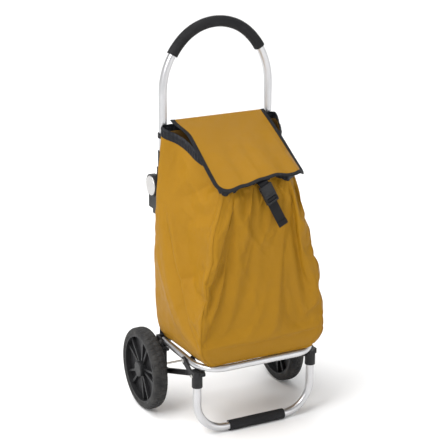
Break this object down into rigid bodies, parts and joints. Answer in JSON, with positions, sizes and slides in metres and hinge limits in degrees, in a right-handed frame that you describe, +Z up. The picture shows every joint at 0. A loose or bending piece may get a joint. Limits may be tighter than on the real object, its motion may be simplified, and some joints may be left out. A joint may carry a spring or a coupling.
{
  "type": "folding shopping trolley",
  "caption": "Folding shopping trolley: a fabric bag with a buckled flap on a tubular frame, with a fold-down arched handle, side wheels, and a fold-up platform and stand.",
  "frame": {"origin": "on the floor, midway between the wheels, in the plane of the upright back tubes", "axes": "+Z up, -Y towards the trolley's front, +X to the right of someone facing its front"},
  "size_m": [0.412, 0.3547, 0.944],
  "materials": {
    "satin_aluminium": "satin",
    "black_moulding": "matte, lightly grained",
    "button_silver": "satin silver",
    "black_foam": "matte closed-cell foam",
    "black_tyre": "matte, moulded tread",
    "bright_steel": "bright zinc",
    "black_steel": "black enamel",
    "mustard_polyester": "coated plain weave",
    "black_webbing": "ribbed webbing and binding"
  },
  "bodies": {
    "back_frame": {"back_tube_left": "satin_aluminium", "back_tube_right": "satin_aluminium", "crossbar_low": "satin_aluminium", "crossbar_high": "satin_aluminium", "crossbar_collars": "black_moulding", "rear_bracket_left": "black_moulding", "rear_bracket_right": "black_moulding", "fold_pins": "bright_steel", "link_pins": "bright_steel", "axle_rod": "bright_steel", "axle_retainers": "bright_steel", "hinge_lower_left": "black_moulding", "hinge_lower_right": "black_moulding", "hinge_pins": "bright_steel", "button_spring_left": "bright_steel", "button_spring_right": "bright_steel", "bag": "mustard_polyester", "bag_binding": "black_webbing", "closure_strap": "black_webbing"},
    "handle": {"hinge_upper_left": "black_moulding", "hinge_upper_right": "black_moulding", "handle_tube": "satin_aluminium", "grip_foam": "black_foam", "bag_hangers": "black_moulding"},
    "platform": {"platform_tube": "satin_aluminium", "clip_pins": "bright_steel", "bag_board": "black_moulding"},
    "stand": {"stand_tube": "satin_aluminium", "stand_foam": "black_foam", "stand_clip_left": "black_moulding", "stand_clip_right": "black_moulding", "stand_rivets": "bright_steel"},
    "left_link": {"link_left": "black_steel"},
    "right_link": {"link_right": "black_steel"},
    "left_wheel": {"wheel_disc_left": "black_moulding", "tyre_left": "black_tyre", "hub_cap_left": "black_moulding", "axle_bush_left": "black_moulding"},
    "right_wheel": {"wheel_disc_right": "black_moulding", "tyre_right": "black_tyre", "hub_cap_right": "black_moulding", "axle_bush_right": "black_moulding"},
    "left_button": {"release_button_left": "button_silver"},
    "right_button": {"release_button_right": "button_silver"},
    "bag_flap": {"flap": "mustard_polyester", "flap_binding": "black_webbing", "flap_tab": "black_webbing", "buckle_socket": "black_moulding"},
    "buckle_half": {"buckle_plug": "black_moulding"}
  },
  "joints": [
    {"name": "base_fold", "type": "hinge", "parent": "back_frame", "child": "platform", "pos_m": [0, -0.028, 0.178], "axis": [-1, 0, 0], "range_deg": [0, 90], "deforming": ["bag", "bag_binding", "closure_strap"]},
    {"name": "stand_fold", "type": "hinge", "parent": "platform", "child": "stand", "pos_m": [0, -0.156, 0.178], "axis": [1, 0, 0], "range_deg": [0, 90]},
    {"name": "link_left_swing", "type": "hinge", "parent": "back_frame", "child": "left_link", "pos_m": [-0.1335, -0.002, 0.0875], "axis": [-1, 0, 0], "range_deg": [0, 51.3]},
    {"name": "link_right_swing", "type": "hinge", "parent": "back_frame", "child": "right_link", "pos_m": [0.1335, -0.002, 0.0875], "axis": [-1, 0, 0], "range_deg": [0, 51.3]},
    {"name": "wheel_left_spin", "type": "hinge", "parent": "back_frame", "child": "left_wheel", "pos_m": [-0.186, 0.01, 0.1], "axis": [1, 0, 0], "continuous": true},
    {"name": "wheel_right_spin", "type": "hinge", "parent": "back_frame", "child": "right_wheel", "pos_m": [0.186, 0.01, 0.1], "axis": [1, 0, 0], "continuous": true},
    {"name": "handle_fold", "type": "hinge", "parent": "back_frame", "child": "handle", "pos_m": [0, 0.013, 0.556], "axis": [-1, 0, 0], "range_deg": [0, 180]},
    {"name": "button_left_press", "type": "slide", "parent": "back_frame", "child": "left_button", "axis": [1, 0, 0], "range_m": [0, 0.002], "stiffness_N_per_m": 400, "springref_m": -0.002, "deforming": ["button_spring_left"]},
    {"name": "button_right_press", "type": "slide", "parent": "back_frame", "child": "right_button", "axis": [-1, 0, 0], "range_m": [0, 0.002], "stiffness_N_per_m": 400, "springref_m": -0.002, "deforming": ["button_spring_right"]},
    {"name": "flap_open", "type": "hinge", "parent": "back_frame", "child": "bag_flap", "pos_m": [0.01, -0.008, 0.711], "axis": [-1, 0, 0], "range_deg": [0, 100]},
    {"name": "buckle_release", "type": "slide", "parent": "back_frame", "child": "buckle_half", "axis": [0.4067, -0.1743, -0.8968], "range_m": [0, 0.03], "deforming": ["buckle_plug"]}
  ],
  "couplings": [
    {"joint": "stand_fold", "follows": "base_fold", "ratio": 1},
    {"joint": "link_left_swing", "follows": "base_fold", "ratio": 0.57},
    {"joint": "link_right_swing", "follows": "base_fold", "ratio": 0.57}
  ]
}
